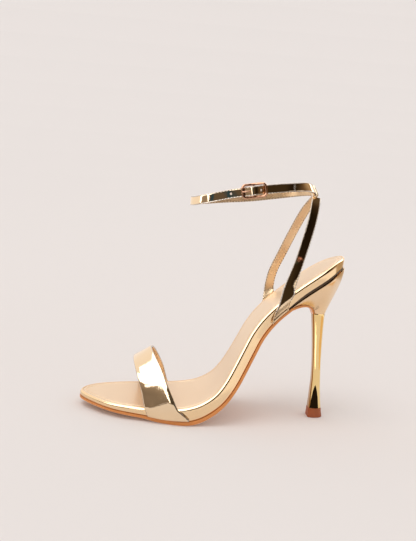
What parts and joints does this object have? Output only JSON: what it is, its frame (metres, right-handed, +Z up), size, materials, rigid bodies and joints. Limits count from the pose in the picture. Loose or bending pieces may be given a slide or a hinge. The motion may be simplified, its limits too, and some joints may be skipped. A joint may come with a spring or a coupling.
{
  "type": "strappy heeled sandal",
  "caption": "Left stiletto sandal with a broad toe strap, an ankle strap with a buckle, back straps that meet in a keeper, a wrapped sole and a plated heel on a flat tip.",
  "frame": {"origin": "on the floor, under the middle of the shoe's bounding box", "axes": "+X from the toe to the back of the heel, +Y from the outer to the inner side of the left foot, +Z up"},
  "size_m": [0.1954, 0.0818, 0.18],
  "materials": {
    "mirror_gold": "mirror foil on leather",
    "wrapped_gold": "satin mirror foil on leather",
    "pale_sock": "satin metallic",
    "tan_edge": "painted edge",
    "plated_gold": "polished gold plating",
    "rose_gold": "polished",
    "brown_tip": "matte"
  },
  "bodies": {
    "root": {"outsole": "tan_edge", "footbed": "mirror_gold", "insole": "pale_sock", "toe_strap": "mirror_gold", "back_strap": "mirror_gold", "ankle_strap": "mirror_gold", "buckle_frame": "rose_gold", "buckle_prong": "rose_gold", "heel_block": "wrapped_gold", "heel_stem": "plated_gold", "heel_tip": "brown_tip"}
  },
  "joints": []
}
